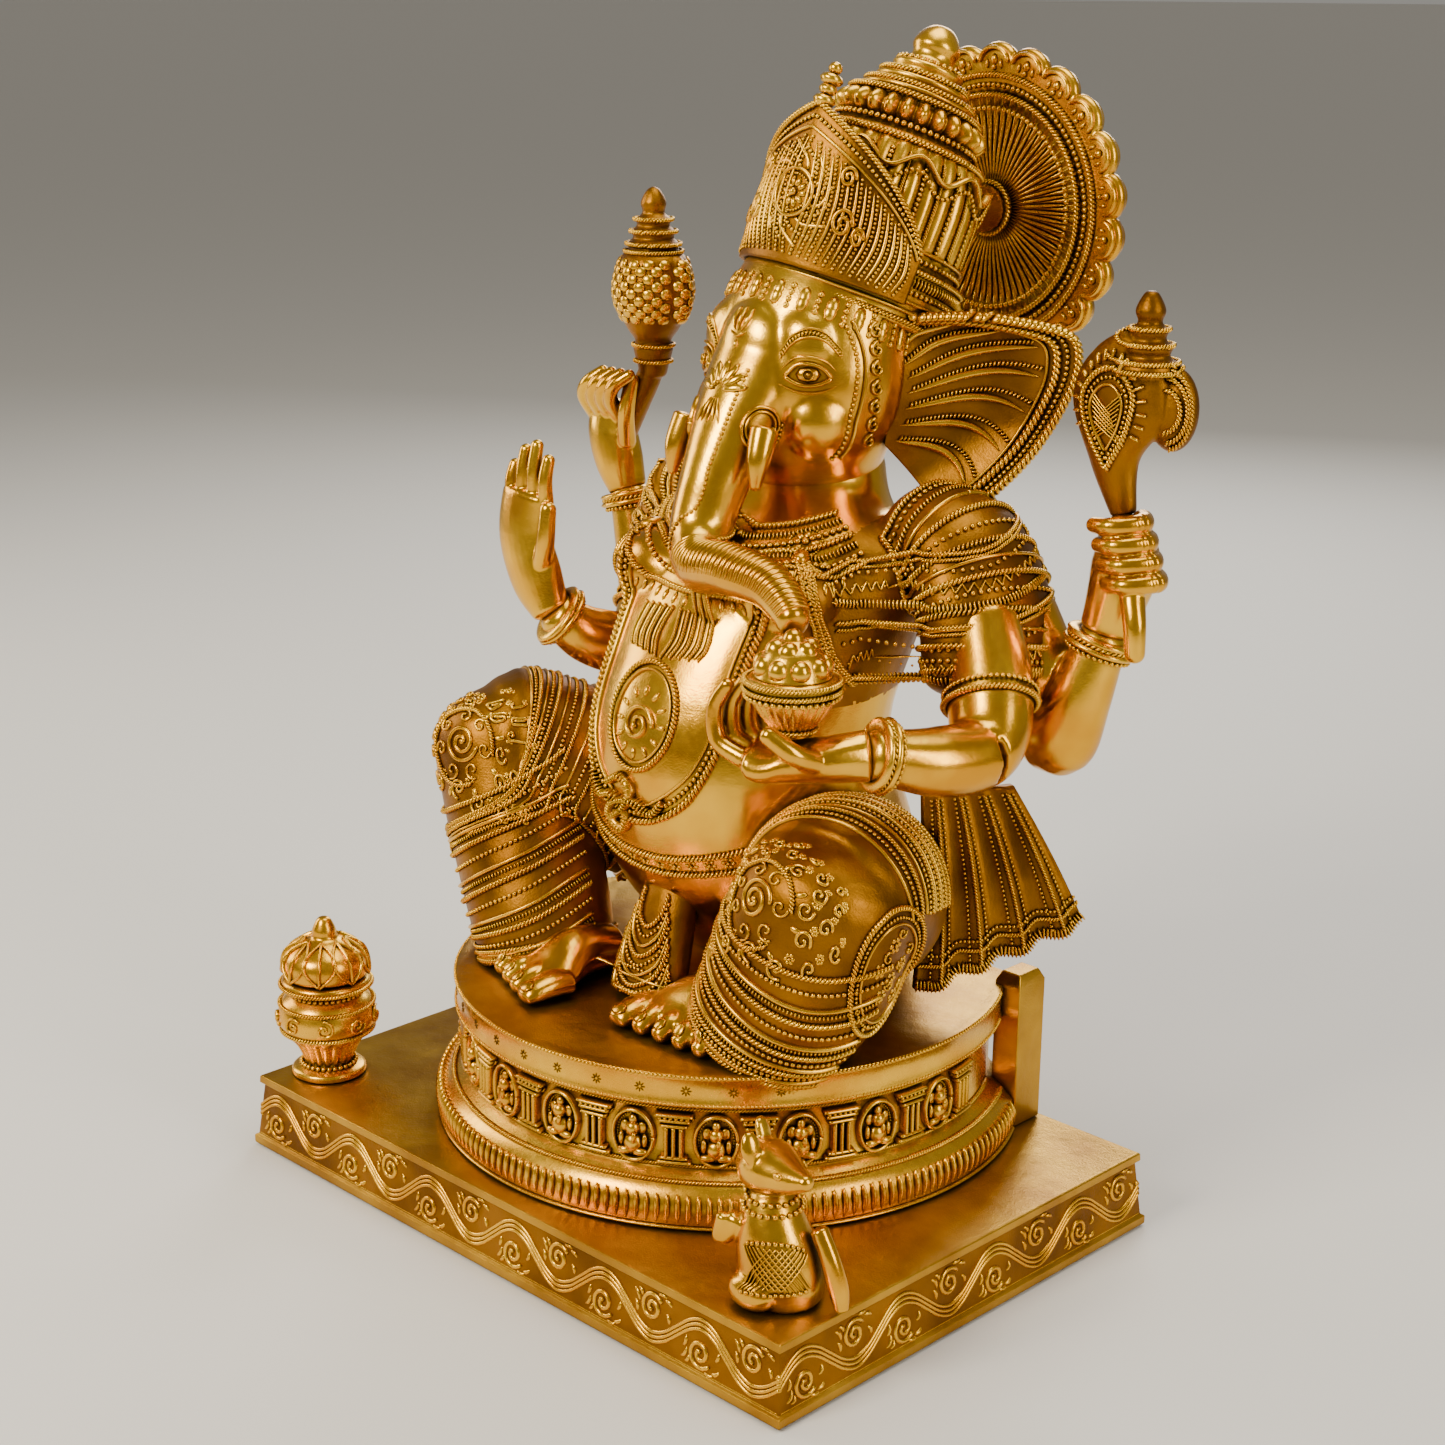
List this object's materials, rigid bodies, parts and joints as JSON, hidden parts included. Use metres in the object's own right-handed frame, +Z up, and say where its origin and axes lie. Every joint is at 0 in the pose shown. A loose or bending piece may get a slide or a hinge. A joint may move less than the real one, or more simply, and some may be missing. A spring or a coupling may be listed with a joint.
{
  "type": "ganesha idol",
  "caption": "Seated four-armed elephant-headed figure in cast brass with crown and halo, on a round pedestal and rectangular base with a small mouse and a filled pot.",
  "frame": {"origin": "centre of the base plate's underside, on the flat foot of its centre boss", "axes": "+Z up; the figure faces -Y; +X is the figure's own left"},
  "size_m": [0.369, 0.3058, 0.5357],
  "materials": {
    "polished_brass": "hand-polished cast brass with dark brown patina in the recesses",
    "chased_brass": "chased cast brass ornament, worn bright on the edges",
    "steel": "plain steel screws"
  },
  "bodies": {
    "root": {"arm_front_left": "polished_brass", "arm_front_right": "polished_brass", "arm_rear_left": "polished_brass", "arm_rear_right": "polished_brass", "base_plate": "polished_brass", "coconut": "polished_brass", "crown_band": "chased_brass", "crown_dome": "chased_brass", "crown_finial": "chased_brass", "crown_front_plate": "chased_brass", "ear_left": "chased_brass", "ear_right": "chased_brass", "foot_left": "polished_brass", "foot_right": "polished_brass", "front_pleats": "chased_brass", "halo_boss": "polished_brass", "halo_disc": "chased_brass", "hand_front_left": "polished_brass", "hand_front_right": "polished_brass", "hand_rear_left": "polished_brass", "hand_rear_right": "polished_brass", "head": "polished_brass", "idol_screw_1": "steel", "idol_screw_2": "steel", "leg_left": "chased_brass", "leg_right": "chased_brass", "lotus_bud": "chased_brass", "mouse_body": "polished_brass", "mouse_head": "polished_brass", "mouse_screw": "steel", "mouse_tail": "polished_brass", "noose": "chased_brass", "pedestal_deck": "polished_brass", "pedestal_drum": "chased_brass", "pedestal_screw_1": "steel", "pedestal_screw_2": "steel", "pedestal_screw_3": "steel", "pedestal_screw_4": "steel", "pot": "polished_brass", "pot_screw": "steel", "sash_left": "chased_brass", "sash_right": "chased_brass", "shoulder_cape_left": "chased_brass", "shoulder_cape_right": "chased_brass", "sweet_bowl": "polished_brass", "sweets": "polished_brass", "torso": "polished_brass", "trunk": "polished_brass", "tusk_left": "polished_brass", "tusk_right": "polished_brass", "base_boss": "polished_brass"}
  },
  "joints": []
}
